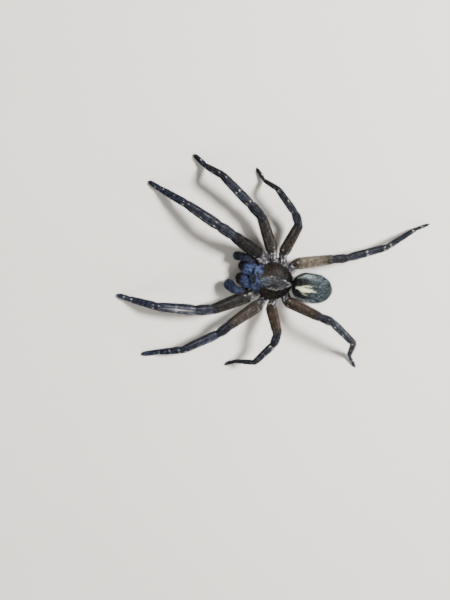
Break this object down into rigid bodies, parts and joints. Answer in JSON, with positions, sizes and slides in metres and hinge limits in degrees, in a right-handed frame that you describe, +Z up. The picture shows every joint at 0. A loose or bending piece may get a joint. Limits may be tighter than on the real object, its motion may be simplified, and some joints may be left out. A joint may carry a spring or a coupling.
{
  "type": "wandering spider",
  "caption": "Life-size wandering spider standing still: domed hairy carapace, egg-shaped abdomen, stout jaws with folded fangs, short palps and splayed jointed legs.",
  "frame": {"origin": "on the floor, under the centre of the whole animal's bounding box", "axes": "+Z up, the head towards -Y, the animal's left towards +X"},
  "size_m": [0.069, 0.0946, 0.0197],
  "materials": {
    "carapace_hair": "short flat brown-black hair over horny shell, with a paler grey mauve lens-shaped band edged in whitish hair",
    "head_hair": "short blue-grey hair, darker in front",
    "coxa_hair": "mauve-grey hair with pale glints",
    "femur_hair": "close brown hair",
    "leg_hair": "close grey-black hair with black bristles",
    "abdomen_hair": "dark green-grey hair with a cream jagged mark in front",
    "horn": "polished black horn",
    "eye": "clear black lens"
  },
  "bodies": {
    "root": {"carapace": "carapace_hair", "sternum": "coxa_hair", "pedicel": "coxa_hair", "abdomen": "abdomen_hair", "spinnerets": "abdomen_hair", "chelicera_left": "head_hair", "palp_left": "head_hair", "fang_left": "horn", "eye_front_left": "eye", "eye_side_left": "eye", "eye_middle_left": "eye", "eye_back_left": "eye", "coxa_left_1": "coxa_hair", "femur_left_1": "femur_hair", "patella_left_1": "leg_hair", "tibia_left_1": "leg_hair", "foot_left_1": "leg_hair", "coxa_left_2": "coxa_hair", "femur_left_2": "femur_hair", "patella_left_2": "leg_hair", "tibia_left_2": "leg_hair", "foot_left_2": "leg_hair", "coxa_left_3": "coxa_hair", "femur_left_3": "femur_hair", "patella_left_3": "leg_hair", "tibia_left_3": "leg_hair", "foot_left_3": "leg_hair", "coxa_left_4": "coxa_hair", "femur_left_4": "femur_hair", "patella_left_4": "leg_hair", "tibia_left_4": "leg_hair", "foot_left_4": "leg_hair", "chelicera_right": "head_hair", "palp_right": "head_hair", "fang_right": "horn", "eye_front_right": "eye", "eye_side_right": "eye", "eye_middle_right": "eye", "eye_back_right": "eye", "coxa_right_1": "coxa_hair", "femur_right_1": "femur_hair", "patella_right_1": "leg_hair", "tibia_right_1": "leg_hair", "foot_right_1": "leg_hair", "coxa_right_2": "coxa_hair", "femur_right_2": "femur_hair", "patella_right_2": "leg_hair", "tibia_right_2": "leg_hair", "foot_right_2": "leg_hair", "coxa_right_3": "coxa_hair", "femur_right_3": "femur_hair", "patella_right_3": "leg_hair", "tibia_right_3": "leg_hair", "foot_right_3": "leg_hair", "coxa_right_4": "coxa_hair", "femur_right_4": "femur_hair", "patella_right_4": "leg_hair", "tibia_right_4": "leg_hair", "foot_right_4": "leg_hair"}
  },
  "joints": []
}
